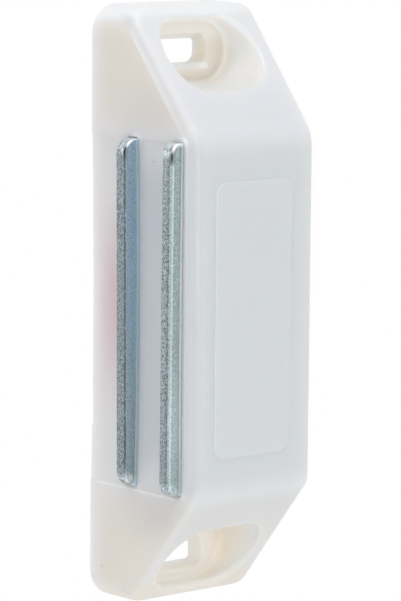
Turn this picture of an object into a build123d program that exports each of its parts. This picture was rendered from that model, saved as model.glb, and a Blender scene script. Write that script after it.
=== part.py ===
from build123d import *
import os

# Magnetic catch for a cabinet door, in millimetres.
# X = 0 is the mounting plane and the body stands out of it towards +X.
# The pole plates look towards -Y, and +Z runs along the length. The origin is midway between the pockets.

# Housing: outer form
LENGTH = 58.0             # along Z, on the mounting plane
DEPTH = 16.0              # pole side to rear, on the mounting plane
HEIGHT = 15.2             # mounting plane to outer face
TOE_HEIGHT = 5.1          # height of the end faces, where the slopes begin
RIDGE_MARGIN = 0.25       # how far each end of the outer face lies past the pole plates
DRAFT_DEG = 1.2           # moulding draft of the side and end faces
FRONT_CORNER_RADIUS = 2.8  # upright corners on the pole side
REAR_CORNER_RADIUS = 1.6  # upright corners at the rear
EDGE_RADIUS = 1.2         # edge that runs round the outer face, the slopes and the toes
BASE_RADIUS = 0.45        # edge that runs round the mounting plane
UPPER_RIDGE_RADIUS = 3.6  # outer face to upper slope
LOWER_RIDGE_RADIUS = 1.6  # outer face to lower slope

# Housing: screw pockets and slots
END_WALL = 1.4            # beyond each pocket, on the mounting plane
INNER_WALL = 4.15         # between each pocket and the chamber
SIDE_WALL = 2.4           # each side of a pocket
POCKET_WIDTH = 6.5        # along Z
POCKET_FLOOR = 3.9        # height of the floor that the screw head bears on
POCKET_FLOOR_RADIUS = 0.8
POCKET_RIM_RADIUS = 0.4
SLOT_LENGTH = 5.15        # along Y, at the narrow end
SLOT_WIDTH = 2.3          # along Z, at the narrow end
SLOT_INNER_CORNER = 1.0   # towards the chamber, at the narrow end
SLOT_OUTER_CORNER = 0.35  # towards the end of the housing, at the narrow end
SLOT_BEVEL = 0.6          # how far the slot widens towards the pocket, on each side
LOWER_SLOT_SHIFT = 0.6    # how far the lower slot lies past the middle of its pocket
WEB = 1.4                 # thickness of the floor round the slot
RELIEF_INSET = 0.05       # how far the relief under the floor lies inside the pocket's outline

# Housing: magnet chamber, open to the mounting side
FRONT_WALL = 1.5          # on the mounting plane
REAR_WALL = 1.5           # on the mounting plane
OUTER_WALL = 1.4          # between the chamber and the outer face
CHAMBER_RADIUS = 0.5      # upright corners of the chamber

# Housing: sunk window round the pole plates, bowed inwards
WINDOW_END_MARGIN = 0.15  # past each end of the pole plates
WINDOW_TOP_INSET = 0.05   # how far it ends short of the outer slit's edge
WINDOW_DEPTH = 0.08       # at its two ends
WINDOW_BOW = 0.2          # further depth at mid-length
WINDOW_DROP = 0.3         # how far its middle lies towards -Z

# Housing: raised panel on the outer face
PANEL_END_MARGIN = 3.8    # from each end of the outer face
PANEL_SIDE_MARGIN = 3.3   # from the pole side and from the rear
PANEL_RISE = 0.13
PANEL_RADIUS = 1.2
PANEL_EDGE_RADIUS = 0.12
PANEL_DROP = 0.3          # how far its middle lies towards -Z
PANEL_SHIFT = 0.15        # how far its middle lies towards the pole side

# Magnet pack
PLATE_THICKNESS = 1.4
PLATE_EDGE_RADIUS = 0.12
INNER_PLATE_ROLL = 0.15   # die roll round the outer flat of the plate
OUTER_PLATE_ROLL = 0.32
INNER_PLATE_CORNER = 1.4
OUTER_PLATE_CORNER = 1.1
INNER_PLATE_PROUD = 1.13  # beyond the pole side of the footprint
OUTER_PLATE_PROUD = 1.06
INNER_PLATE_LEAN = 0.4    # degrees about X; the lower end lies further in
OUTER_PLATE_LEAN = -0.3   # degrees about X; the upper end lies further in
MAGNET_THICKNESS = 5.25
MAGNET_END_INSET = 1.75   # inside each end of the plates
MAGNET_REAR_ROOM = 2.4    # between the magnet and the rear wall
MAGNET_CHAMFER = 0.3
STOP_GAP = 0.1            # between the magnet and the front wall that stops it
PACK_TRAVEL = 0.5         # inwards
PACK_REAR_GAP = 0.4       # left behind the plates when the pack is pushed in
PACK_CLEARANCE = 0.1      # over and under the pack, in the chamber
SLIT_CLEARANCE = 0.03     # over and under each plate, in its slit
SLIT_END_CLEARANCE = 0.08  # at each end of a plate, in its slit
END_CLEARANCE = 0.2       # at each end of the pack, in the chamber
PACK_DROP = 0.1           # how far the pack and its slits lie towards -Z

# Retainer that closes the chamber
RETAINER_SINK = 1.2       # below the mounting plane
RETAINER_THICKNESS = 1.4
RETAINER_CLEARANCE = 0.1
RIB_WIDTH = 2.0           # along Z, of each rib that backs the pack
RIB_INSET = 1.9           # from the retainer's front and rear edges
RIB_SPACING = 10.0
RIB_COUNT = 3
SNAP_RADIUS = 0.5
SNAP_LENGTH = 6.0         # along Y

# Places that follow from the sizes above
POCKET_LENGTH = DEPTH - 2 * SIDE_WALL
POCKET_PLACE = LENGTH / 2 - END_WALL - POCKET_WIDTH / 2
CHAMBER_END = POCKET_PLACE - POCKET_WIDTH / 2 - INNER_WALL
CHAMBER_FRONT = -DEPTH / 2 + FRONT_WALL
CHAMBER_REAR = DEPTH / 2 - REAR_WALL
CHAMBER_TOP = HEIGHT - OUTER_WALL
PLATE_LENGTH = 2 * (CHAMBER_END - END_CLEARANCE)
PLATE_DEPTH = DEPTH / 2 + OUTER_PLATE_PROUD + CHAMBER_REAR - PACK_TRAVEL - PACK_REAR_GAP
OUTER_FACE_END = PLATE_LENGTH / 2 + RIDGE_MARGIN
OUTER_PLATE_BASE = CHAMBER_TOP - PACK_CLEARANCE - PLATE_THICKNESS
MAGNET_BASE = OUTER_PLATE_BASE - MAGNET_THICKNESS
INNER_PLATE_BASE = MAGNET_BASE - PLATE_THICKNESS
RETAINER_TOP = RETAINER_SINK + RETAINER_THICKNESS
RETAINER_END = CHAMBER_END - RETAINER_CLEARANCE
RETAINER_FRONT = CHAMBER_FRONT + RETAINER_CLEARANCE
RETAINER_REAR = CHAMBER_REAR - RETAINER_CLEARANCE
OVERSHOOT = 1.0           # how far a cutting tool runs past the face that it opens


def level(height):
    """Plane at a height over the mounting plane: its x runs along +Y and its y along +Z."""
    return Plane(origin=(height, 0, 0), x_dir=(0, 1, 0), z_dir=(1, 0, 0))


def block(x_span, y_span, z_span):
    """Box between two values on each axis."""
    spans = (x_span, y_span, z_span)
    size = [high - low for low, high in spans]
    middle = [(low + high) / 2 for low, high in spans]
    return Pos(*middle) * Box(*size)


def side_profile():
    """Outline seen from the side: low end faces, two slopes and the long outer face."""
    end = LENGTH / 2
    crest = OUTER_FACE_END
    lower_half = [(0, -end), (TOE_HEIGHT, -end), (HEIGHT, -crest)]
    upper_half = [(HEIGHT, crest), (TOE_HEIGHT, end), (0, end)]
    outline = make_face(Polyline(*lower_half, *upper_half, close=True))
    for corner, radius in ((crest, UPPER_RIDGE_RADIUS), (-crest, LOWER_RIDGE_RADIUS)):
        ridge = outline.vertices().sort_by_distance((HEIGHT, corner, 0))[0]
        outline = fillet(ridge, radius)
    return Plane(origin=(0, 0, 0), x_dir=(1, 0, 0), z_dir=(0, -1, 0)) * outline


def footprint():
    """Outline on the mounting plane, with its own corners on the pole side and at the rear."""
    outline = Rectangle(DEPTH, LENGTH)
    for corner in outline.vertices():
        radius = FRONT_CORNER_RADIUS if corner.X < 0 else REAR_CORNER_RADIUS
        nearest = outline.vertices().sort_by_distance(corner)[0]
        outline = fillet(nearest, radius)
    return outline


def outer_form():
    """Drafted block cut to the side profile, with soft edges round its outer and mounting sides."""
    drafted = extrude(level(0) * footprint(), amount=HEIGHT + OVERSHOOT, taper=DRAFT_DEG)
    body = drafted & extrude(side_profile(), amount=DEPTH, both=True)
    top_faces = [face for face in body.faces() if face.normal_at().X > 0.3]
    top_edges = [edge for face in top_faces for edge in face.edges()]
    rim = [edge for edge in top_edges if top_edges.count(edge) == 1]
    body = fillet(rim, EDGE_RADIUS)
    return fillet(body.faces().sort_by(Axis.X)[0].edges(), BASE_RADIUS)


def stadium(place, length, width):
    """Round-ended outline along Y, centred on a place along Z."""
    return Pos(0, place) * SlotOverall(length, width)


def slot_outline(place, growth):
    """Outline of a slot, grown on all sides, with its tighter corners towards the end of the housing."""
    outline = Pos(0, place) * Rectangle(SLOT_LENGTH + 2 * growth, SLOT_WIDTH + 2 * growth)
    for corner in outline.vertices():
        radius = SLOT_OUTER_CORNER if abs(corner.Y) > abs(place) else SLOT_INNER_CORNER
        nearest = outline.vertices().sort_by_distance(corner)[0]
        outline = fillet(nearest, radius + growth)
    return outline


def pocket_cut(place):
    """Pocket for the screw head, with a rounded floor."""
    pocket = extrude(level(POCKET_FLOOR) * stadium(place, POCKET_LENGTH, POCKET_WIDTH), amount=HEIGHT)
    return fillet(pocket.faces().sort_by(Axis.X)[0].edges(), POCKET_FLOOR_RADIUS)


def slot_cut(place):
    """Bevelled slot through a pocket's floor."""
    narrow = level(POCKET_FLOOR - WEB) * slot_outline(place, 0)
    wide = level(POCKET_FLOOR) * slot_outline(place, SLOT_BEVEL)
    return loft([narrow, wide])


def relief_cut(place):
    """Relief under a pocket's floor, open to the mounting side."""
    outline = stadium(place, POCKET_LENGTH - 2 * RELIEF_INSET, POCKET_WIDTH - 2 * RELIEF_INSET)
    return extrude(level(-OVERSHOOT) * outline, amount=OVERSHOOT + POCKET_FLOOR - WEB)


def chamber_cut():
    """Room for the magnet pack, open to the mounting side."""
    room = block(
        (-OVERSHOOT, CHAMBER_TOP),
        (CHAMBER_FRONT, CHAMBER_REAR),
        (-CHAMBER_END, CHAMBER_END),
    )
    return fillet(room.edges().filter_by(Axis.X), CHAMBER_RADIUS)


def slit_cut(plate_base):
    """Slit in the front wall that one pole plate stands out of."""
    reach = PLATE_LENGTH / 2 + SLIT_END_CLEARANCE
    return block(
        (plate_base - SLIT_CLEARANCE, plate_base + PLATE_THICKNESS + SLIT_CLEARANCE),
        (-DEPTH / 2 - OVERSHOOT, CHAMBER_FRONT + OVERSHOOT),
        (-reach - PACK_DROP, reach - PACK_DROP),
    )


def window_cut():
    """Shallow sunk window in the front face, bowed inwards, that keeps the draft and the soft base edge.

    The core is what stays behind the window. The cut is the room in front of it.
    """
    end = PLATE_LENGTH / 2 + WINDOW_END_MARGIN
    top = OUTER_PLATE_BASE + PLATE_THICKNESS + SLIT_CLEARANCE - WINDOW_TOP_INSET
    bow = ThreePointArc((WINDOW_DEPTH, -end), (WINDOW_DEPTH + WINDOW_BOW, 0), (WINDOW_DEPTH, end))
    rest = Polyline((WINDOW_DEPTH, end), (DEPTH / 2, end), (DEPTH / 2, -end), (WINDOW_DEPTH, -end))
    core = extrude(level(0) * make_face([bow, rest]), amount=top)
    base = core.faces().sort_by(Axis.X)[0]
    core = fillet(base.edges().sort_by(Axis.Y)[0], BASE_RADIUS)
    room = block((-OVERSHOOT, top), (-OVERSHOOT, DEPTH / 4), (-end, end))
    return Pos(0, -DEPTH / 2, -WINDOW_DROP) * Rot(0, 0, DRAFT_DEG) * (room - core)


def panel():
    """Low raised panel on the outer face."""
    width = DEPTH - 2 * PANEL_SIDE_MARGIN
    length = 2 * (OUTER_FACE_END - PANEL_END_MARGIN)
    outline = Pos(-PANEL_SHIFT, -PANEL_DROP) * RectangleRounded(width, length, PANEL_RADIUS)
    slab = extrude(level(HEIGHT - OUTER_WALL / 2) * outline, amount=OUTER_WALL / 2 + PANEL_RISE)
    return fillet(slab.faces().sort_by(Axis.X)[-1].edges(), PANEL_EDGE_RADIUS)


def snap_bead(end):
    """Round bead along Y that holds the retainer in the end wall of the chamber."""
    bead = Cylinder(SNAP_RADIUS, SNAP_LENGTH, rotation=(90, 0, 0))
    return Pos((RETAINER_SINK + RETAINER_TOP) / 2, 0, end) * bead


def cut_pocket(body, pocket):
    """Cut a pocket and round the rim that it leaves in the slope."""
    hollowed = body - pocket
    upright = hollowed.edges().filter_by(Axis.X)
    rim = [
        edge
        for edge in new_edges(body, pocket, combined=hollowed)
        if edge.bounding_box().min.X > POCKET_FLOOR + 2 * POCKET_FLOOR_RADIUS and edge not in upright
    ]
    return fillet(rim, POCKET_RIM_RADIUS)


def make_housing():
    """The whole moulding."""
    body = outer_form()
    for place, shift in ((-POCKET_PLACE, -LOWER_SLOT_SHIFT), (POCKET_PLACE, 0)):
        body = cut_pocket(body, pocket_cut(place)) - slot_cut(place + shift) - relief_cut(place)
    body = body - window_cut() - chamber_cut()
    for plate_base in (INNER_PLATE_BASE, OUTER_PLATE_BASE):
        body = body - slit_cut(plate_base)
    for end in (-RETAINER_END, RETAINER_END):
        body = body - snap_bead(end)
    return body + panel()


def make_plate(base, proud, corner, lean, roll):
    """Pole plate with rounded corners and a die roll round one flat, leaning a little on the magnet."""
    plate = extrude(level(base) * RectangleRounded(PLATE_DEPTH, PLATE_LENGTH, corner), amount=PLATE_THICKNESS)
    plate = fillet(plate.faces().sort_by(Axis.X)[0].edges(), PLATE_EDGE_RADIUS)
    plate = fillet(plate.faces().sort_by(Axis.X)[-1].edges(), roll)
    return Pos(0, -DEPTH / 2 - proud + PLATE_DEPTH / 2, -PACK_DROP) * Rot(lean, 0, 0) * plate


def make_magnet():
    """Ferrite block between the plates."""
    reach = PLATE_LENGTH / 2 - MAGNET_END_INSET
    magnet = block(
        (MAGNET_BASE, OUTER_PLATE_BASE),
        (CHAMBER_FRONT + STOP_GAP, CHAMBER_REAR - MAGNET_REAR_ROOM),
        (-reach - PACK_DROP, reach - PACK_DROP),
    )
    return chamfer(magnet.edges().filter_by(Axis.X), MAGNET_CHAMFER)


def make_retainer():
    """Plate with ribs that backs the magnet pack and snaps into the chamber's end walls."""
    plate = block(
        (RETAINER_SINK, RETAINER_TOP),
        (RETAINER_FRONT, RETAINER_REAR),
        (-RETAINER_END, RETAINER_END),
    )
    plate = fillet(plate.edges().filter_by(Axis.X), CHAMBER_RADIUS)
    for end in (-RETAINER_END, RETAINER_END):
        plate = plate + snap_bead(end)
    for number in range(RIB_COUNT):
        place = (number - (RIB_COUNT - 1) / 2) * RIB_SPACING
        rib = block(
            (RETAINER_TOP, INNER_PLATE_BASE - PACK_CLEARANCE),
            (RETAINER_FRONT + RIB_INSET, RETAINER_REAR - RIB_INSET),
            (place - RIB_WIDTH / 2, place + RIB_WIDTH / 2),
        )
        plate = plate + rib
    return plate


inner_plate = make_plate(
    INNER_PLATE_BASE, INNER_PLATE_PROUD, INNER_PLATE_CORNER, INNER_PLATE_LEAN, INNER_PLATE_ROLL
)
outer_plate = make_plate(
    OUTER_PLATE_BASE, OUTER_PLATE_PROUD, OUTER_PLATE_CORNER, OUTER_PLATE_LEAN, OUTER_PLATE_ROLL
)

os.makedirs("parts", exist_ok=True)
export_step(make_housing(), "parts/housing.step")
export_step(inner_plate, "parts/inner_pole_plate.step")
export_step(outer_plate, "parts/outer_pole_plate.step")
export_step(make_magnet(), "parts/magnet.step")
export_step(make_retainer(), "parts/retainer.step")
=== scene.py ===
"""Looks of a magnetic cabinet-door catch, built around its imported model.

The frame is the part's own: +X out of the mounting plane, -Y the way the pole plates look and +Z along
the housing. Lengths are in metres, except in the materials, which work in millimetres.
"""

import logging
import math
from dataclasses import dataclass
from enum import Enum
from functools import reduce

import bpy
import numpy as np
from mathutils import Matrix, Vector


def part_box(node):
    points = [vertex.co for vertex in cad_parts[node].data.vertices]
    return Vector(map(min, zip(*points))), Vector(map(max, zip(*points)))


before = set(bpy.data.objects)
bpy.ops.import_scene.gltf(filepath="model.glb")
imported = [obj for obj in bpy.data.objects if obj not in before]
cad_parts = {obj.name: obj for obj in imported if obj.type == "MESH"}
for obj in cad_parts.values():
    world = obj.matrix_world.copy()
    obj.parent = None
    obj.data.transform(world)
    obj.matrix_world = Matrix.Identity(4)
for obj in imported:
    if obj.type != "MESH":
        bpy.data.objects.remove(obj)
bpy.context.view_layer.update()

log = logging.getLogger("catch")
MM = 0.001
WELD_GAP = 0.0005 * MM
Colour = tuple[float, float, float]
Point = tuple[float, float, float]
Span = tuple[float, float]


def linear(red: int, green: int, blue: int) -> Colour:
    """Linear colour of a display colour.

    Args:
        red: display red, 0 to 255.
        green: display green, 0 to 255.
        blue: display blue, 0 to 255.

    Returns:
        The three linear values: the display curve undone, by its power law above its short straight toe.
    """
    toe_end, toe_slope, offset, power = 0.04045, 12.92, 0.055, 2.4
    shares = (channel / 255 for channel in (red, green, blue))
    return tuple(v / toe_slope if v <= toe_end else ((v + offset) / (1 + offset)) ** power for v in shares)


class Signal:
    """An output socket that carries a number, with Python's arithmetic."""

    def __init__(self, graph: "Graph", socket: bpy.types.NodeSocket) -> None:
        """Wrap one socket of a graph."""
        self.graph = graph
        self.socket = socket

    def sibling(self, name: str) -> "Signal":
        """Another output of the same node."""
        return Signal(self.graph, self.socket.node.outputs[name])

    def _math(self, operation: str, first: "Signal | float", second: "Signal | float" = 0.0) -> "Signal":
        """Math node of two values."""
        return self.graph.node("ShaderNodeMath", {"operation": operation}, {0: first, 1: second})

    def __add__(self, other: "Signal | float") -> "Signal":
        """Sum."""
        return self._math("ADD", self, other)

    __radd__ = __add__

    def __sub__(self, other: "Signal | float") -> "Signal":
        """Difference."""
        return self._math("SUBTRACT", self, other)

    def __rsub__(self, other: float) -> "Signal":
        """Difference from a number."""
        return self._math("SUBTRACT", other, self)

    def __mul__(self, other: "Signal | float") -> "Signal":
        """Product."""
        return self._math("MULTIPLY", self, other)

    __rmul__ = __mul__

    def __abs__(self) -> "Signal":
        """Size without its sign."""
        return self._math("ABSOLUTE", self)

    def __pow__(self, other: float) -> "Signal":
        """Power."""
        return self._math("POWER", self, other)

    def at_most(self, other: "Signal | float") -> "Signal":
        """The smaller of two values."""
        return self._math("MINIMUM", self, other)

    def at_least(self, other: "Signal | float") -> "Signal":
        """The larger of two values."""
        return self._math("MAXIMUM", self, other)

    def rise(self, low: float, high: float) -> "Signal":
        """Smooth step.

        Args:
            low: value at which the result is 0.
            high: value at which the result is 1. Below low, the step falls instead.

        Returns:
            3t^2 - 2t^3, with t the share of the way from low to high, held between 0 and 1.
        """
        settings = {"interpolation_type": "SMOOTHSTEP"}
        return self.graph.node("ShaderNodeMapRange", settings, {0: self, 1: low, 2: high, 3: 0.0, 4: 1.0})

    def bell(self, middle: float, reach: float) -> "Signal":
        """Smooth hump that is 1 at the middle and 0 beyond its reach."""
        return abs(self - middle).rise(reach, 0.0)


@dataclass(frozen=True)
class Grain:
    """Size of a noise: cells in each millimetre, octaves of finer noise, and a factor on each axis."""

    per_mm: float
    detail: float = 2.0
    stretch: Point = (1.0, 1.0, 1.0)


@dataclass(frozen=True)
class Relief:
    """Strength of a bump, and its depth in millimetres."""

    strength: float
    depth: float


class Graph:
    """A node tree that is filled by one method."""

    def __init__(self, tree: bpy.types.NodeTree) -> None:
        """Start from an empty tree."""
        self.tree = tree
        tree.nodes.clear()

    def node(self, kind: str, settings: dict | None = None, inputs: dict | None = None,
             output: int | str = 0) -> Signal:
        """Add a node.

        Args:
            kind: the node's type name.
            settings: its settings, which are set before its sockets.
            inputs: socket name or number, to a Signal that is linked or a value that is set.
            output: which output the result wraps.

        Returns:
            The wrapped output.
        """
        made = self.tree.nodes.new(kind)
        for name, value in (settings or {}).items():
            setattr(made, name, value)
        for name, value in (inputs or {}).items():
            if isinstance(value, Signal):
                self.tree.links.new(value.socket, made.inputs[name])
            else:
                made.inputs[name].default_value = value
        return Signal(self, made.outputs[output] if len(made.outputs) else None)

    def mix(self, share: Signal, first: Signal | Colour, second: Signal | Colour, label: str = "") -> Signal:
        """Blend two colours.

        Args:
            share: how much of the second shows, 0 to 1.
            first: colour where share is 0.
            second: colour where share is 1.
            label: what the node is labelled with.

        Returns:
            The blended colour.
        """
        first, second = (c if isinstance(c, Signal) else (*c, 1.0) for c in (first, second))
        settings = {"data_type": "RGBA", "label": label}
        return self.node("ShaderNodeMix", settings, {0: share, 6: first, 7: second}, 2)

    def stack(self, ground: Signal | Colour, layers: dict[str, tuple[Signal, Signal | Colour]]) -> Signal:
        """Lay colours over a ground, one after the other.

        Args:
            ground: the lowest colour.
            layers: label of each layer, to how much of it shows and its colour.

        Returns:
            The colour on top.
        """
        for label, (share, colour) in layers.items():
            ground = self.mix(share, ground, colour, label)
        return ground

    def bump(self, relief: Relief, height: Signal, under: Signal | None = None) -> Signal:
        """Turn a height into a normal.

        Args:
            relief: how strong and how deep the bump is.
            height: the height, 0 to 1.
            under: normal that the bump lies on, if there is one.

        Returns:
            The normal.
        """
        inputs = {"Strength": relief.strength, "Distance": relief.depth * MM, "Height": height}
        if under is not None:
            inputs["Normal"] = under
        return self.node("ShaderNodeBump", {}, inputs)


class Measure(Enum):
    """What a mask can go by. All are in millimetres."""

    HEIGHT = "height over the mounting plane"
    REARWARD = "place from the pole side to the rear"
    LENGTHWISE = "place along the housing"
    ALONG = "distance along the housing from its middle"
    ACROSS = "distance towards the pole side or the rear from the middle"
    OFF_POCKET = "distance along the housing from the middle of the nearer pocket"
    BELOW_SLOPE = "depth under the plane of a sloped end"
    BEHIND = "depth behind the front wall"
    ROUND_RIM = "way round the rim of a sloped end: below 0 on the front wall, above 0 on the slope"
    ROUND_EDGE = "way round the edge between the front wall and the outer face"


@dataclass(frozen=True)
class Fade:
    """Smooth step along a measure, from the value where it is 0 to the value where it is 1."""

    measure: Measure
    none: float
    full: float

    def mask(self, place: "Place") -> Signal:
        """The step at a place."""
        return place.measures[self.measure].rise(self.none, self.full)


@dataclass(frozen=True)
class Hump:
    """Smooth hump along a measure: 1 at its middle, 0 beyond its reach."""

    measure: Measure
    middle: float
    reach: float

    def mask(self, place: "Place") -> Signal:
        """The hump at a place."""
        return place.measures[self.measure].bell(self.middle, self.reach)


@dataclass(frozen=True)
class Spot:
    """Round spot about a point, from the distance where it is 0 to the distance where it is 1."""

    middle: Point
    none: float
    full: float

    def mask(self, place: "Place") -> Signal:
        """Measure the distance from the middle and step along it.

        Args:
            place: where the point is.

        Returns:
            The spot at the place.
        """
        inputs = {0: place.at, 1: self.middle}
        gap = place.graph.node("ShaderNodeVectorMath", {"operation": "DISTANCE"}, inputs, "Value")
        return gap.rise(self.none, self.full)


@dataclass(frozen=True)
class Patch:
    """Part of a surface: where all of its steps, humps and spots meet, times its share."""

    parts: tuple[Fade | Hump | Spot, ...]
    share: float = 1.0

    def mask(self, place: "Place") -> Signal:
        """Product of the parts' masks and the share."""
        return reduce(Signal.__mul__, [part.mask(place) for part in self.parts]) * self.share


@dataclass(frozen=True)
class Tint:
    """A named colour, plain or with tints of its own, and the patches that it covers."""

    name: str
    colour: "Colour | Coat"
    patches: tuple[Patch, ...]


@dataclass(frozen=True)
class Coat:
    """A ground colour, and the tints that lie over it in order."""

    ground: Colour
    tints: tuple[Tint, ...]


class Place:
    """Where a point of a surface is, in millimetres: the vector, its three parts and other measures."""

    def __init__(self, graph: Graph) -> None:
        """Scale Object coordinates to millimetres and take them apart.

        Args:
            graph: the material's graph.
        """
        metres = graph.node("ShaderNodeTexCoord", output="Object")
        self.graph = graph
        self.at = graph.node("ShaderNodeVectorMath", {"operation": "SCALE"}, {0: metres, "Scale": 1 / MM})
        parts = graph.node("ShaderNodeSeparateXYZ", {}, {0: self.at})
        self.x, self.y, self.z = (parts.sibling(axis) for axis in "XYZ")
        self.measures: dict[Measure, Signal] = {}

    def noise(self, grain: Grain) -> Signal:
        """Add a noise.

        Args:
            grain: how fine the noise is, and how it is stretched.

        Returns:
            The noise at the place, about 0 to 1.
        """
        inputs = {0: self.at, 1: grain.stretch}
        scaled = self.graph.node("ShaderNodeVectorMath", {"operation": "MULTIPLY"}, inputs)
        inputs = {"Vector": scaled, "Scale": grain.per_mm, "Detail": grain.detail}
        return self.graph.node("ShaderNodeTexNoise", {}, inputs)

    def cover(self, patches: tuple[Patch, ...]) -> Signal:
        """The largest of the patches' masks."""
        return reduce(Signal.at_least, [patch.mask(self) for patch in patches])

    def paint(self, coat: Coat) -> Signal:
        """Lay a coat's tints over its ground, one after the other.

        Args:
            coat: the ground colour and the tints.

        Returns:
            The colour at the place.
        """
        return self.graph.stack(coat.ground, {
            tint.name: (self.cover(tint.patches),
                        self.paint(tint.colour) if isinstance(tint.colour, Coat) else tint.colour)
            for tint in coat.tints
        })


@dataclass(frozen=True)
class FrontWall:
    """The housing's front wall: how far forward its foot stands, and how far it leans back for its height."""

    foot: float = -8.0
    lean: float = 0.021


@dataclass(frozen=True)
class HousingForm:
    """The sizes of the housing that its colours follow."""

    wall: FrontWall = FrontWall()
    height: float = 15.2
    slope_start: float = 17.0
    slope_fall: float = 0.842
    slope_cosine: float = 0.765
    pocket_middle: float = 24.35


class HousingPlace(Place):
    """Where a point of the housing is."""

    def __init__(self, graph: Graph, form: HousingForm) -> None:
        """Work out every measure.

        Args:
            graph: the material's graph.
            form: the housing's sizes. A slope's plane falls from the outer face by its fall for each
                millimetre beyond its start, and the depth under it is the drop times the cosine of its angle.
        """
        super().__init__(graph)
        along = abs(self.z)
        slope_height = form.height - (along - form.slope_start) * form.slope_fall
        below_slope = (slope_height - self.x) * form.slope_cosine
        behind = self.y - form.wall.foot - self.x * form.wall.lean
        self.measures = {
            Measure.HEIGHT: self.x,
            Measure.REARWARD: self.y,
            Measure.LENGTHWISE: self.z,
            Measure.ALONG: along,
            Measure.ACROSS: abs(self.y),
            Measure.OFF_POCKET: abs(along - form.pocket_middle),
            Measure.BELOW_SLOPE: below_slope,
            Measure.BEHIND: behind,
            Measure.ROUND_RIM: behind - below_slope,
            Measure.ROUND_EDGE: self.x + self.y,
        }


@dataclass(frozen=True)
class Finish:
    """What all finishes share: a name and a Principled shader."""

    name: str

    def start(self) -> tuple[bpy.types.Material, Graph]:
        """Start the finish.

        Returns:
            A new material and its empty graph.
        """
        material = bpy.data.materials.new(self.name)
        material.use_nodes = True
        return material, Graph(material.node_tree)

    def end(self, graph: Graph, inputs: dict) -> None:
        """Put the Principled shader and the output at the end of a graph."""
        shader = graph.node("ShaderNodeBsdfPrincipled", {}, inputs)
        graph.node("ShaderNodeOutputMaterial", {}, {"Surface": shader})


# Parts of the housing that several tints share. A Fade holds the values where it is 0 and where it is 1,
# and a Hump its middle and its reach.
UPPER = Fade(Measure.LENGTHWISE, 0.0, 1.0)
LOWER = Fade(Measure.LENGTHWISE, 0.0, -1.0)
FRONT = Fade(Measure.BEHIND, 0.75, 0.2)
PAST_FRONT = Fade(Measure.BEHIND, 0.2, 0.75)
SLOPED = (Fade(Measure.ALONG, 16.5, 19.0), Fade(Measure.ALONG, 28.4, 27.6))
SLOPE = (Fade(Measure.BELOW_SLOPE, 0.8, 0.2), *SLOPED)
# Where the rims' painted shade lies: a hump round the rim between the front wall and a slope.
PAINTED_RIM_SHADE = (Hump(Measure.ROUND_RIM, -0.2, 1.45), Fade(Measure.BEHIND, 1.6, 1.0), *SLOPED)
IN_POCKET = (Fade(Measure.ACROSS, 5.9, 5.6), Fade(Measure.OFF_POCKET, 3.6, 3.3),
             Fade(Measure.HEIGHT, 2.3, 2.6))
# Painted light: near white, laid over the housing where shade falls.
PAINTED_LIGHT_WHITE = linear(254, 255, 255)

# The housing's tints, which lie over each other in the order of its coat. First its large faces.
FACE_TINTS = (
    # Painted shading: the upper slope lighter and cooler than the lower one, as the light from above falls on
    # them.
    Tint("upper_slope_painted_shading", linear(226, 228, 232), (Patch((UPPER, *SLOPE)),)),
    Tint("lower_slope_painted_shading", linear(222, 223, 222), (Patch((LOWER, *SLOPE)),)),
    Tint("toe", linear(226, 222, 214), (
        Patch((Fade(Measure.LENGTHWISE, -26.0, -27.6), Fade(Measure.HEIGHT, 0.2, 1.2),
               Fade(Measure.REARWARD, 7.9, 7.3))),
    )),
    Tint("outer_face", linear(218, 222, 223), (
        Patch((PAST_FRONT, Fade(Measure.ALONG, 19.0, 15.0), Fade(Measure.HEIGHT, 11.5, 13.7))),
    )),
)
FRONT_TINTS = (
    Tint("front_face", linear(223, 222, 223), (
        Patch((FRONT, Fade(Measure.HEIGHT, -0.2, 0.5), Fade(Measure.LENGTHWISE, 28.6, 26.6),
               Fade(Measure.LENGTHWISE, -30.0, -28.5))),
    )),
    Tint("front_end", linear(221, 217, 210), (
        Patch((FRONT, Fade(Measure.ALONG, 16.0, 21.0), Fade(Measure.ALONG, 28.6, 26.0),
               Fade(Measure.HEIGHT, 0.3, 3.0))),
    )),
)
# Painted shade on rounded edges, damping their highlights: along the outer face, round the sloped ends and
# where the two meet.
PAINTED_EDGE_SHADE = (
    # Painted shade on the rounded edge between the front wall and the outer face, damping its highlight.
    Tint("edge", linear(198, 201, 203), (
        Patch((Hump(Measure.ROUND_EDGE, 7.5, 1.6), Fade(Measure.HEIGHT, 13.6, 14.2),
               Fade(Measure.ALONG, 17.9, 15.7))),
    )),
    # Painted shade on the rims round the sloped ends, damping their highlights.
    Tint("upper_rim_painted_shade", linear(213, 214, 218), (Patch((UPPER, *PAINTED_RIM_SHADE)),)),
    Tint("lower_rim_painted_shade", linear(215, 213, 209), (Patch((LOWER, *PAINTED_RIM_SHADE)),)),
    # Painted shade on the front wall where the upper slope's rim begins, against its glow.
    Tint("front_corner_painted_shade", linear(204, 205, 207), (
        Patch((FRONT, Hump(Measure.BELOW_SLOPE, 0.85, 0.55), Fade(Measure.LENGTHWISE, 16.4, 17.4),
               Fade(Measure.LENGTHWISE, 20.6, 17.6))),
    )),
)
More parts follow.
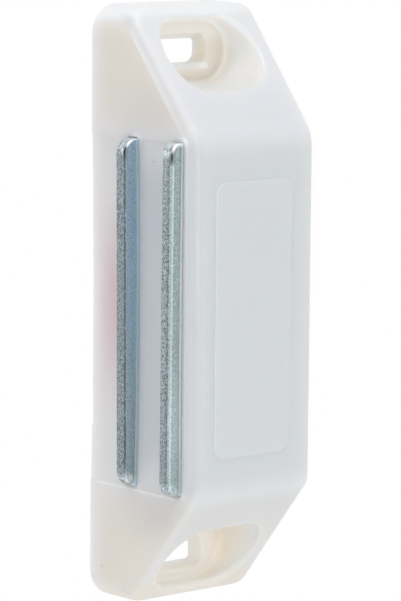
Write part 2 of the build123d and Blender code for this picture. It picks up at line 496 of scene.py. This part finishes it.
# The front wall round the pole plates: painted shade below and above them and beside the outer plate, a
# darker tone between them, and the retainer's blush through it.
PLATE_TINTS = (
    # Painted shade on the front wall below and above the plates.
    Tint("painted_shade_beyond_plates", linear(203, 202, 201), (
        Patch((FRONT, Hump(Measure.HEIGHT, 10.8, 8.0), Hump(Measure.LENGTHWISE, -18.8, 5.0)), 0.75),
        Patch((FRONT, Hump(Measure.HEIGHT, 9.0, 9.0), Hump(Measure.LENGTHWISE, 18.5, 5.0)), 0.4),
    )),
    # Painted shade on the front wall beside the outer plate, towards the outer face.
    Tint("painted_shade_beside_plates", linear(208, 211, 215), (
        Patch((FRONT, Fade(Measure.HEIGHT, 13.6, 14.6), Fade(Measure.ALONG, 18.0, 15.0))),
    )),
    Tint("between_plates", linear(199, 203, 208), (
        Patch((FRONT, Hump(Measure.HEIGHT, 9.7, 5.4), Fade(Measure.ALONG, 18.0, 12.0))),
    )),
    Tint("blush", linear(217, 193, 200), (
        Patch((FRONT, Hump(Measure.HEIGHT, 3.6, 3.4), Hump(Measure.LENGTHWISE, 0.5, 13.0))),
    )),
)
# The screw pockets, from their rims down: painted light on the rims and walls, painted warm shade on the
# floors.
POCKET_LIGHT_AND_SHADE = (
    # Painted light just inside the pocket rims, strong on the upper pocket and faint on the lower one.
    Tint("painted_light_pocket_rim", PAINTED_LIGHT_WHITE, (
        Patch((UPPER, Fade(Measure.BELOW_SLOPE, -0.05, 0.6), *IN_POCKET)),
        Patch((LOWER, Fade(Measure.BELOW_SLOPE, -0.05, 0.6), *IN_POCKET), 0.15),
    )),
    # Painted light on the pocket walls, against the shade that falls in the pockets.
    Tint("painted_light_pocket_wall", Coat(linear(249, 248, 249), (
        Tint("lower_pocket_wall", linear(249, 248, 246), (Patch((LOWER,)),)),
        Tint("rear_pocket_wall", linear(247, 242, 234), (Patch((LOWER, Fade(Measure.REARWARD, 1.0, 3.0))),)),
        Tint("pocket_foot", linear(246, 243, 239), (Patch((UPPER, Fade(Measure.HEIGHT, 6.4, 4.4))),)),
    )), (
        Patch((UPPER, Fade(Measure.BELOW_SLOPE, 1.0, 4.0), *IN_POCKET)),
        Patch((LOWER, Fade(Measure.BELOW_SLOPE, 0.0, 3.0), *IN_POCKET)),
    )),
    # Painted warm shade on the pocket floors, lighter on the lower pocket and at the upper pocket's far end.
    Tint("painted_shade_pocket_floor", Coat(linear(224, 218, 208), (
        Tint("lower_pocket_floor", linear(238, 232, 225), (Patch((LOWER,)),)),
        Tint("upper_end_floor", linear(235, 231, 224), (Patch((Fade(Measure.LENGTHWISE, 24.6, 26.2),)),)),
    )), (
        Patch((Fade(Measure.HEIGHT, 4.2, 3.92), *IN_POCKET)),
    )),
)
# Painted light, white: beside the plates' high flats against their shade, a line along the window's low end
# and the upper slot's ledge.
PAINTED_LIGHT_TINTS = (
    Tint("painted_light", PAINTED_LIGHT_WHITE, (
        Patch((FRONT, Hump(Measure.HEIGHT, 13.7, 0.9), Fade(Measure.ALONG, 17.4, 16.6))),
        Patch((FRONT, Hump(Measure.HEIGHT, 7.05, 0.9), Fade(Measure.ALONG, 17.4, 16.6))),
        Patch((FRONT, Hump(Measure.LENGTHWISE, -17.25, 0.2), Fade(Measure.HEIGHT, 0.8, 2.0),
               Fade(Measure.HEIGHT, 13.4, 12.9)), 0.35),
        Patch((Fade(Measure.HEIGHT, 4.0, 3.8), Fade(Measure.ACROSS, 3.6, 3.3),
               Hump(Measure.LENGTHWISE, 22.9, 0.5))),
    )),
)
SPECKS = (
    Tint("specks", linear(120, 112, 100), (
        Patch((Spot((2.1, -7.96, -25.55), 0.2, 0.1),), 0.2),
        Patch((Spot((9.45, -7.75, 14.6), 0.13, 0.065),)),
    )),
)


@dataclass(frozen=True)
class HousingPlastic(Finish):
    """White, slightly translucent moulded plastic, cooler over the hollow and warmer where it is solid, with
    painted light and shade.
    """

    name: str = "housing_plastic"
    form: HousingForm = HousingForm()
    coat: Coat = Coat(linear(233, 235, 238), (
        *FACE_TINTS, *FRONT_TINTS, *PAINTED_EDGE_SHADE, *PLATE_TINTS, *POCKET_LIGHT_AND_SHADE, *PAINTED_LIGHT_TINTS, *SPECKS,
    ))
    dull: tuple[Patch, ...] = (
        Patch((Fade(Measure.ALONG, 28.2, 28.7),)),
        Patch((Fade(Measure.REARWARD, 6.5, 7.2),)),
        Patch((Fade(Measure.HEIGHT, 0.7, 0.3),)),
    )
    roughness: float = 0.25
    dull_roughness: float = 0.75
    satin: Grain = Grain(9.0, 3.0)
    satin_roughness: float = 0.1
    satin_relief: Relief = Relief(0.12, 0.02)
    waves: Grain = Grain(0.16, 1.0)
    wave_relief: Relief = Relief(0.25, 0.4)
    refraction: float = 1.5
    glow_depth: float = 2.5
    glow_colour: Colour = (1.0, 0.9, 0.75)

    def build(self) -> bpy.types.Material:
        """Make the material.

        Returns:
            The material. Its colour is the coat, and its gloss is broken by a fine satin and by long waves.
        """
        material, graph = self.start()
        place = HousingPlace(graph, self.form)
        satin = place.noise(self.satin)
        added = place.cover(self.dull) * (self.dull_roughness - self.roughness)
        fine = graph.bump(self.satin_relief, satin)
        self.end(graph, {
            "Base Color": place.paint(self.coat),
            "Roughness": satin * self.satin_roughness + added + self.roughness,
            "Normal": graph.bump(self.wave_relief, place.noise(self.waves), fine),
            "IOR": self.refraction,
            "Subsurface Weight": 1.0,
            "Subsurface Radius": self.glow_colour,
            "Subsurface Scale": self.glow_depth * MM,
        })
        return material


class PlatePlace(Place):
    """Where a point of a pole plate is."""

    def __init__(self, graph: Graph, steel: "PlatedSteel") -> None:
        """Work out the distances that the plate's marks follow.

        Args:
            graph: the material's graph.
            steel: the plate's finish. The depth inside the front outline is the corner's radius less the
                distance from the corner's centre, of which only the parts beyond the centre count. The
                window that the plate stands out of is bowed by a parabola over its length.
        """
        super().__init__(graph)
        low, high = (Vector(corner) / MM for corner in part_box(steel.node))
        self.over_low_flat = self.x - low.x
        self.over_high_flat = self.x - high.x
        self.from_top = high.z - self.z
        self.from_bottom = self.z - low.z
        self.behind = self.y - steel.front + self.z * steel.slant
        from_end = self.from_top.at_most(self.from_bottom)
        past = (steel.corner - self.behind).at_least(0.0) ** 2 + (steel.corner - from_end).at_least(0.0) ** 2
        self.inside = steel.corner - past ** 0.5
        bow = 1 - ((self.z - steel.window_middle) * (1 / steel.window_reach)) ** 2
        self.outside = bow * steel.window_bow + self.x * steel.wall.lean + steel.wall.foot - self.y

    def band(self, over: Span, inside: Span) -> Signal:
        """Band along the arris: a step up to the high flat times a step inside the front outline."""
        return self.over_high_flat.rise(*over) * self.inside.rise(*inside)


@dataclass(frozen=True)
class SteelGrain:
    """The noises of plated steel, and the spans over which some of them rise from 0 to 1."""

    grain: Grain = Grain(5.8, 2.0, (1.3, 1.0, 0.9))
    streaks: Grain = Grain(3.0, 3.0, (1.0, 0.25, 4.0))
    scratches: Grain = Grain(1.0, 2.0, (0.4, 0.3, 7.0))
    pits: Grain = Grain(4.0)
    pit_span: Span = (0.6, 0.72)
    breaks: Grain = Grain(2.6)
    break_span: Span = (0.32, 0.5)
    patches: Grain = Grain(3.2, 2.0, (2.0, 2.0, 0.5))
    patch_span: Span = (0.36, 0.56)


@dataclass(frozen=True)
class PaintedGlints:
    """Painted highlights on a plate's ends. A span runs from where a mark is 0 to where it is 1."""

    arris_reach: float = 0.32
    arris_top: Span = (1.0, 0.5)
    end_top: Span = (0.35, 0.1)
    end_flat: Span = (-0.9, -0.6)
    edge_top: Span = (0.5, 0.05)
    edge_share: float = 0.8
    top_share: float = 0.85
    low_flat: Span = (-0.4, -0.15)
    low_inside: Span = (1.1, 0.5)
    low_bottom: Span = (1.6, 0.9)
    low_share: float = 0.85

    def mask(self, place: PlatePlace, on_edge: Signal, patches: Signal) -> Signal:
        """All painted highlights.

        Args:
            place: where the point is.
            on_edge: 1 on the sheared edge.
            patches: 1 where the low glint is whole.

        Returns:
            The largest of the painted highlights along the arris, the two on the top end and the one on the
            low end.
        """
        reach = self.arris_reach
        arris = place.band((-reach, -reach / 2), (reach, reach / 2)) * place.from_top.rise(*self.arris_top)
        end = place.from_top.rise(*self.end_top) * place.over_high_flat.rise(*self.end_flat)
        edge = place.from_top.rise(*self.edge_top) * on_edge * self.edge_share
        low = place.band(self.low_flat, self.low_inside) * place.from_bottom.rise(*self.low_bottom) * patches
        return (arris.at_least(end).at_least(edge) * self.top_share).at_least(low * self.low_share)


@dataclass(frozen=True)
class PaintedDarkStreak:
    """A painted dark reflection beside the arris near a plate's top."""

    flat_middle: float = -0.16
    flat_reach: float = 0.2
    inside: Span = (0.4, 0.2)
    top_middle: float = 1.3
    top_reach: float = 0.9
    sharpness: float = 0.5
    share: float = 0.9

    def mask(self, place: PlatePlace) -> Signal:
        """Mark the painted dark reflection.

        Args:
            place: where the point is.

        Returns:
            Humps across and along the streak and a step inside the outline, drawn out by a power.
        """
        across = place.over_high_flat.bell(self.flat_middle, self.flat_reach)
        across = across * place.inside.rise(*self.inside)
        along = place.from_top.bell(self.top_middle, self.top_reach)
        return (across * along) ** self.sharpness * self.share


@dataclass(frozen=True)
class PlatedSteel(Finish):
    """Zinc-plated steel: smooth on the rolled faces and speckled on the sheared edges, with painted light and
    reflections.

    A span runs from the distance where its mark is 0 to the distance where it is 1. Each low colour is the
    one of the plate's low end, each inward one lies behind the front edge, and the shoulders are the two
    ends of the sheared edge. Painted highlights lie on the shoulders and ends, a painted reflection along the
    arris and painted light where the flat meets the housing.
    """

    name: str = "plated_steel"
    node: str = "inner_pole_plate"
    # The zinc's own blue, with painted reflection: the changes along the plate and inwards, and the two
    # plates' different colours, stand in for what the flats reflect.
    rolled: Colour = linear(181, 205, 219)
    rolled_low: Colour = linear(173, 191, 196)
    rolled_inward: Colour = linear(170, 195, 210)
    rolled_inward_low: Colour = linear(158, 175, 181)
    low_span: Span = (0.0, -10.0)
    inward_span: Span = (0.2, 1.0)
    # Painted light on the flat where it meets the housing, against the shade in that corner.
    root: Colour = linear(228, 247, 255)
    painted_root_light_span: Span = (0.22, 0.1)
    wall: FrontWall = FrontWall(foot=-7.92)
    window_bow: float = 0.2
    window_middle: float = -0.3
    window_reach: float = 17.3
    sheared: Colour = linear(128, 138, 142)
    edge_low: Span = (0.02, 0.1)
    edge_high: Span = (-0.02, -0.1)
    # Painted highlights on the sheared edge towards its two ends.
    painted_shoulder_highlight: Colour = linear(172, 182, 187)
    shoulder_top: Span = (1.7, 1.0)
    shoulder_bottom: Span = (1.5, 0.8)
    front: float = -9.13
    slant: float = 0.007
    corner: float = 1.4
    # Painted reflection along the arris, in dashes and fading out towards the low end: dark on the inner
    # plate, pale on the outer one.
    arris: Colour = linear(84, 88, 92)
    arris_flat: Span = (-0.252, -0.112)
    arris_inside: Span = (0.17, 0.04)
    arris_bottom: Span = (1.0, 2.4)
    break_share: float = 0.4
    under_flat: Span = (-0.7, -0.28)
    under_inside: Span = (0.1, 0.0)
    under_share: float = 0.0
    pit: Colour = linear(60, 64, 64)
    pit_share: float = 0.2
    edge_pit_share: float = 0.45
    grains: SteelGrain = SteelGrain()
    shade: float = 1.05
    grain_shade: float = 1.1
    edge_grain_shade: float = 2.6
    grain_middle: float = 0.5
    scratch_shade: float = 0.3
    scratch_middle: float = 0.25
    scratched_middle: float = -9.5
    scratched_reach: float = 7.0
    # Painted dark reflection beside the arris near the top.
    painted_streak_colour: Colour = linear(24, 27, 29)
    painted_dark_streak: PaintedDarkStreak = PaintedDarkStreak()
    # Painted highlights on the plate's ends.
    painted_glint_colour: Colour = linear(240, 247, 249)
    painted_glints: PaintedGlints = PaintedGlints()
    relief: Relief = Relief(0.6, 0.03)
    streak_relief: float = 0.3
    roughness: float = 0.2
    streak_roughness: float = 0.1
    edge_roughness: float = 0.2
    arris_roughness: float = 0.25

    def body(self, graph: Graph, place: PlatePlace, on_edge: Signal) -> Signal:
        """Colour of the metal without its marks.

        Args:
            graph: the material's graph.
            place: where the point is.
            on_edge: 1 on the sheared edge.

        Returns:
            The rolled colour, whose changes along the plate and inwards are painted reflection, and the
            sheared one over it, with painted highlights towards its ends.
        """
        low = place.z.rise(*self.low_span)
        inward = graph.mix(low, self.rolled_inward, self.rolled_inward_low, "rolled_inward")
        painted_shoulder_highlight = place.from_top.rise(*self.shoulder_top)
        painted_shoulder_highlight = painted_shoulder_highlight.at_least(place.from_bottom.rise(*self.shoulder_bottom))
        return graph.stack(graph.mix(low, self.rolled, self.rolled_low, "rolled"), {
            "inward": (place.behind.rise(*self.inward_span), inward),
            # The sheared edge, with painted highlights towards its two ends.
            "sheared": (on_edge, graph.mix(painted_shoulder_highlight, self.sheared, self.painted_shoulder_highlight, "painted_shoulder_highlight")),
        })

    def grey(self, graph: Graph, place: PlatePlace, grain: Signal, on_edge: Signal) -> Signal:
        """Grey that the colour is multiplied by.

        Args:
            graph: the material's graph.
            place: where the point is.
            grain: the metal's grain.
            on_edge: 1 on the sheared edge, where the grain is stronger.

        Returns:
            The grain and the scratches about their middles, as a vector of three like parts.
        """
        scratched = place.z.bell(self.scratched_middle, self.scratched_reach)
        scratches = place.noise(self.grains.scratches) * scratched
        speckle = (grain - self.grain_middle) * (on_edge * self.edge_grain_shade + self.grain_shade)
        lines = (scratches - self.scratch_middle) * (1 - on_edge) * self.scratch_shade
        shade = speckle + lines + self.shade
        return graph.node("ShaderNodeCombineXYZ", {}, {0: shade, 1: shade, 2: shade})

    def build(self) -> bpy.types.Material:
        """Make the material.

        Returns:
            The material. Its speckle lies on the edges that are parallel to the plate's thickness, and its
            arris is where the front edge turns into the outer flat.
        """
        material, graph = self.start()
        place = PlatePlace(graph, self)
        grain = place.noise(self.grains.grain)
        streaks = place.noise(self.grains.streaks)
        pits = place.noise(self.grains.pits).rise(*self.grains.pit_span)
        breaks = place.noise(self.grains.breaks).rise(*self.grains.break_span)
        patches = place.noise(self.grains.patches).rise(*self.grains.patch_span)
        on_edge = place.over_low_flat.rise(*self.edge_low) * place.over_high_flat.rise(*self.edge_high)
        on_flat = 1 - on_edge
        at_arris = place.band(self.arris_flat, self.arris_inside)
        unbroken = breaks * self.break_share + (1 - self.break_share)
        marked = graph.stack(self.body(graph, place, on_edge), {
            "under_arris": (place.band(self.under_flat, self.under_inside) * self.under_share, self.pit),
            "pits": (pits * (on_edge * self.edge_pit_share + self.pit_share), self.pit),
            # Painted reflection along the arris.
            "arris": (at_arris * unbroken * place.from_bottom.rise(*self.arris_bottom), self.arris),
        })
        grey = self.grey(graph, place, grain, on_edge)
        shaded = graph.node("ShaderNodeVectorMath", {"operation": "MULTIPLY"}, {0: marked, 1: grey})
        height = grain * on_edge + streaks * on_flat * self.streak_relief
        rough = (on_edge * self.edge_roughness).at_least(at_arris * self.arris_roughness)
        self.end(graph, {
            "Base Color": graph.stack(shaded, {
                # Painted dark reflection beside the arris.
                "painted_dark_streak": (self.painted_dark_streak.mask(place), self.painted_streak_colour),
                # Painted highlights on the ends.
                "painted_glints": (self.painted_glints.mask(place, on_edge, patches), self.painted_glint_colour),
                # Painted light on the flat where it meets the housing.
                "root": (place.outside.rise(*self.painted_root_light_span) * on_flat, self.root),
            }),
            "Metallic": 1.0,
            "Roughness": rough + streaks * self.streak_roughness + self.roughness,
            "Normal": graph.bump(self.relief, height),
        })
        return material


@dataclass(frozen=True)
class Ferrite(Finish):
    """Ground, sintered ferrite: dark grey with fine grinding lines."""

    name: str = "ferrite"
    body: Colour = linear(58, 58, 61)
    worn: Colour = linear(84, 83, 84)
    grain: Grain = Grain(4.0, 4.0)
    worn_span: Span = (0.45, 0.75)
    lines: Grain = Grain(6.0, 2.0, (1.0, 6.0, 0.2))
    relief: Relief = Relief(0.4, 0.03)
    roughness: float = 0.45
    line_roughness: float = 0.2

    def build(self) -> bpy.types.Material:
        """Make the material.

        Returns:
            The material, which is worn paler in patches.
        """
        material, graph = self.start()
        place = Place(graph)
        lines = place.noise(self.lines)
        worn = place.noise(self.grain).rise(*self.worn_span)
        self.end(graph, {
            "Base Color": graph.mix(worn, self.body, self.worn, "worn"),
            "Roughness": lines * self.line_roughness + self.roughness,
            "Normal": graph.bump(self.relief, lines),
        })
        return material


@dataclass(frozen=True)
class RetainerPlastic(Finish):
    """Dull red moulded plastic with the round marks of its ejector pins."""

    name: str = "retainer_plastic"
    body: Colour = linear(196, 96, 102)
    pale: Colour = linear(202, 106, 111)
    clouds: Grain = Grain(0.3)
    cloud_span: Span = (0.3, 0.7)
    satin: Grain = Grain(8.0, 3.0)
    satin_relief: Relief = Relief(0.2, 0.02)
    pins: tuple[Point, ...] = ((1.2, 0.0, -13.0), (1.2, 0.0, 13.0), (1.2, 0.0, 0.0))
    pin_edge: Span = (1.6, 1.5)
    pin_share: float = 0.5
    pin_relief: Relief = Relief(0.8, 0.1)
    roughness: float = 0.38
    satin_roughness: float = 0.15

    def build(self) -> bpy.types.Material:
        """Make the material.

        Returns:
            The material. Each pin leaves a shallow round dent.
        """
        material, graph = self.start()
        place = Place(graph)
        satin = place.noise(self.satin)
        clouds = place.noise(self.clouds).rise(*self.cloud_span)
        pins = place.cover(tuple(Patch((Spot(pin, *self.pin_edge),)) for pin in self.pins))
        self.end(graph, {
            "Base Color": graph.mix(clouds * (1 - pins * self.pin_share), self.body, self.pale, "clouds"),
            "Roughness": satin * self.satin_roughness + self.roughness,
            "Normal": graph.bump(self.pin_relief, 1 - pins, graph.bump(self.satin_relief, satin)),
        })
        return material


class Softness(Enum):
    """Largest angle between two faces that still shade as one surface, in degrees."""

    MOULDED = 32.0
    CUT = 40.0


def smooth_by_angle(angle: Softness) -> bpy.types.NodeTree:
    """Geometry nodes that shade a mesh smooth, except across edges sharper than an angle.

    Args:
        angle: the largest angle that stays smooth.

    Returns:
        The node group, which is shared by all nodes of that softness.
    """
    name = f"smooth_{angle.name.lower()}"
    if name in bpy.data.node_groups:
        return bpy.data.node_groups[name]
    group = bpy.data.node_groups.new(name, "GeometryNodeTree")
    for way in ("INPUT", "OUTPUT"):
        group.interface.new_socket("Geometry", in_out=way, socket_type="NodeSocketGeometry")
    graph = Graph(group)
    turn = graph.node("GeometryNodeInputMeshEdgeAngle", output="Unsigned Angle")
    limit = math.radians(angle.value)
    soft = graph.node("FunctionNodeCompare", {"operation": "LESS_EQUAL"}, {0: turn, 1: limit})
    mesh = graph.node("NodeGroupInput")
    for domain, smooth in (("FACE", True), ("EDGE", soft)):
        inputs = {"Geometry": mesh, "Shade Smooth": smooth}
        mesh = graph.node("GeometryNodeSetShadeSmooth", {"domain": domain}, inputs)
    graph.node("NodeGroupOutput", {}, {0: mesh})
    return group


def dress(node: str, finish: Finish, angle: Softness) -> None:
    """Give a piece its finish, and shade its rounded edges smooth.

    Args:
        node: name of the piece.
        finish: what its surface is.
        angle: what still shades as one surface.
    """
    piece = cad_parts[node]
    material = finish.build()
    for slot in piece.material_slots:
        slot.material = material
    weld = piece.modifiers.new("weld", "WELD")
    weld.merge_threshold = WELD_GAP
    smooth = piece.modifiers.new("smooth", "NODES")
    smooth.node_group = smooth_by_angle(angle)
    weighted = piece.modifiers.new("weighted", "WEIGHTED_NORMAL")
    weighted.keep_sharp = True
    log.info("%s: %s, %d faces", node, finish.name, len(piece.data.polygons))


@dataclass(frozen=True)
class Moulding:
    """The housing and the retainer that closes it."""

    housing: HousingPlastic = HousingPlastic()
    retainer: RetainerPlastic = RetainerPlastic()

    def build(self) -> None:
        """Finish both mouldings."""
        dress("housing", self.housing, Softness.MOULDED)
        dress("retainer", self.retainer, Softness.MOULDED)


@dataclass(frozen=True)
class MagnetPack:
    """The two pole plates and the magnet between them."""

    magnet: Ferrite = Ferrite()
    inner: PlatedSteel = PlatedSteel(name="plated_steel_inner")
    outer: PlatedSteel = PlatedSteel(
        name="plated_steel_outer",
        node="outer_pole_plate",
        # The outer plate's own colours: rolled ones with painted reflection, painted light where the flat
        # meets the housing, painted highlights and painted reflections.
        rolled=linear(157, 173, 175),
        rolled_low=linear(158, 177, 180),
        rolled_inward=linear(163, 179, 181),
        rolled_inward_low=linear(166, 182, 184),
        root=linear(250, 254, 255),
        painted_root_light_span=(0.16, 0.06),
        wall=FrontWall(),
        window_bow=-0.08,
        sheared=linear(137, 148, 152),
        edge_high=(-0.14, -0.28),
        painted_shoulder_highlight=linear(182, 194, 199),
        front=-9.06,
        slant=-0.0052,
        corner=1.1,
        arris=linear(168, 178, 182),
        arris_flat=(-0.288, -0.128),
        arris_inside=(0.36, 0.24),
        under_flat=(-0.8, -0.32),
        under_share=0.35,
        painted_dark_streak=PaintedDarkStreak(flat_middle=-0.12),
        painted_glints=PaintedGlints(arris_reach=0.22, low_share=0.45),
    )

    def build(self) -> None:
        """Finish the pack's three pieces."""
        dress("inner_pole_plate", self.inner, Softness.CUT)
        dress("outer_pole_plate", self.outer, Softness.CUT)
        dress("magnet", self.magnet, Softness.CUT)


@dataclass(frozen=True)
class Softbox:
    """A square studio lamp that looks at the part."""

    name: str
    place: Point
    size: float
    power: float

    def build(self) -> None:
        """Hang the lamp and turn it towards the part."""
        data = bpy.data.lights.new(self.name, "AREA")
        data.shape = "SQUARE"
        data.size = self.size
        data.energy = self.power
        lamp = bpy.data.objects.new(self.name, data)
        lamp.location = self.place
        lamp.rotation_euler = (-Vector(self.place)).to_track_quat("-Z", "Y").to_euler()
        bpy.context.scene.collection.objects.link(lamp)


@dataclass(frozen=True)
class Studio:
    """White surroundings, a pale floor under the part and the lamps."""

    surround: float = 0.58
    floor_colour: Colour = (0.95, 0.95, 0.95)
    floor_white: float = 0.7
    floor_height: float = -0.07
    floor_radius: float = 0.16
    rings: int = 12
    sectors: int = 96
    lamps: tuple[Softbox, ...] = (
        Softbox("overhead", (0.1, -0.12, 0.5), 0.2, 0.66),
        Softbox("pole_side", (-0.16, -0.48, 0.08), 0.25, 0.62),
        Softbox("outer_side", (0.5, -0.06, 0.04), 0.25, 0.7),
        Softbox("rear", (-0.3, 0.42, 0.12), 0.3, 0.56),
    )

    def seen(self, graph: Graph) -> Signal:
        """Tell apart the rays that look at the surroundings.

        Args:
            graph: the graph that the answer is for.

        Returns:
            1 for the rays of the camera, of a gloss and of a clear piece, 0 for all others.
        """
        rays = graph.node("ShaderNodeLightPath")
        kinds = ("Camera", "Glossy", "Transmission")
        return reduce(Signal.at_least, [rays.sibling(f"Is {kind} Ray") for kind in kinds])

    def world(self) -> None:
        """Even white light, and plain white where the camera, a gloss or a clear piece looks at it."""
        world = bpy.data.worlds.new("white")
        world.use_nodes = True
        bpy.context.scene.world = world
        graph = Graph(world.node_tree)
        strength = self.seen(graph) * (1 - self.surround) + self.surround
        inputs = {"Color": (1, 1, 1, 1), "Strength": strength}
        graph.node("ShaderNodeOutputWorld", {}, {"Surface": graph.node("ShaderNodeBackground", {}, inputs)})

    def floor_mesh(self) -> bpy.types.Mesh:
        """Work out the floor: a point's place is its ring's radius times the cosine and sine of its angle.

        Returns:
            A disc. Even steps of radius and angle are joined by quads, and the innermost ring by a fan.
        """
        radii = np.linspace(0.0, self.floor_radius, self.rings + 1)[1:]
        angles = np.linspace(0.0, 2 * math.pi, self.sectors, endpoint=False)
        ring, sector = np.meshgrid(radii, angles, indexing="ij")
        level = np.full(ring.size, self.floor_height)
        points = np.stack([(ring * np.cos(sector)).ravel(), (ring * np.sin(sector)).ravel(), level], 1)
        points = np.vstack([points, [0.0, 0.0, self.floor_height]])
        here = np.arange(self.sectors)
        there = (here + 1) % self.sectors
        steps = np.arange(self.rings - 1)[:, None] * self.sectors
        quads = np.stack([steps + here, steps + self.sectors + here, steps + self.sectors + there,
                          steps + there], 2).reshape(-1, 4)
        hub = np.stack([np.full(self.sectors, len(points) - 1), here, there], 1)
        mesh = bpy.data.meshes.new("floor")
        mesh.from_pydata(points.tolist(), [], quads.tolist() + hub.tolist())
        return mesh

    def floor(self) -> None:
        """Lay the floor, which shows white and keeps the part's shadow."""
        mesh = self.floor_mesh()
        floor = bpy.data.objects.new("floor", mesh)
        bpy.context.scene.collection.objects.link(floor)
        material = bpy.data.materials.new("pale_floor")
        material.use_nodes = True
        graph = Graph(material.node_tree)
        matt = graph.node("ShaderNodeBsdfDiffuse", {}, {"Color": (*self.floor_colour, 1)})
        white = graph.node("ShaderNodeEmission", {}, {"Color": (1, 1, 1, 1), "Strength": 1.0})
        share = self.seen(graph) * self.floor_white
        surface = graph.node("ShaderNodeMixShader", {}, {0: share, 1: matt, 2: white})
        graph.node("ShaderNodeOutputMaterial", {}, {"Surface": surface})
        mesh.materials.append(material)

    def build(self) -> None:
        """Set up the surroundings, the floor and the lamps."""
        self.world()
        self.floor()
        for lamp in self.lamps:
            lamp.build()
        log.info("studio: %d lamps", len(self.lamps))


@dataclass(frozen=True)
class StudioCamera:
    """A long lens that looks down a little on the corner between the pole side and the outer face."""

    azimuth: float = math.radians(50.25)
    elevation: float = math.radians(8.22)
    roll: float = math.radians(0.49)
    distance: float = 0.3267
    aim_right: float = 0.004623
    aim_up: float = -0.00036
    focal_px: float = 3321.8
    frame_px: int = 601
    sensor_mm: float = 36.0
    clip_start: float = 0.01

    def build(self) -> None:
        """Place the camera: back along its azimuth and elevation from the aim point, then rolled."""
        turn, tilt = self.azimuth, self.elevation
        back = Vector((math.sin(turn) * math.cos(tilt), -math.cos(turn) * math.cos(tilt), math.sin(tilt)))
        level_right = (-back).cross(Vector((0, 0, 1))).normalized()
        level_up = back.cross(level_right)
        right = math.cos(self.roll) * level_right + math.sin(self.roll) * level_up
        up = back.cross(right)
        aim = self.aim_right * right + self.aim_up * up
        data = bpy.data.cameras.new("camera")
        data.sensor_width = self.sensor_mm
        data.lens = self.focal_px * self.sensor_mm / self.frame_px
        data.clip_start = self.clip_start
        camera = bpy.data.objects.new("camera", data)
        turned = Matrix((right, up, back)).transposed().to_4x4()
        camera.matrix_world = Matrix.Translation(aim + back * self.distance) @ turned
        bpy.context.scene.collection.objects.link(camera)
        bpy.context.scene.camera = camera


def main() -> None:
    """Build the looks in order."""
    logging.basicConfig(level=logging.INFO, format="%(name)s: %(message)s")
    bpy.context.scene.view_settings.view_transform = "Standard"
    Moulding().build()
    MagnetPack().build()
    Studio().build()
    StudioCamera().build()


if __name__ == "__main__":
    main()
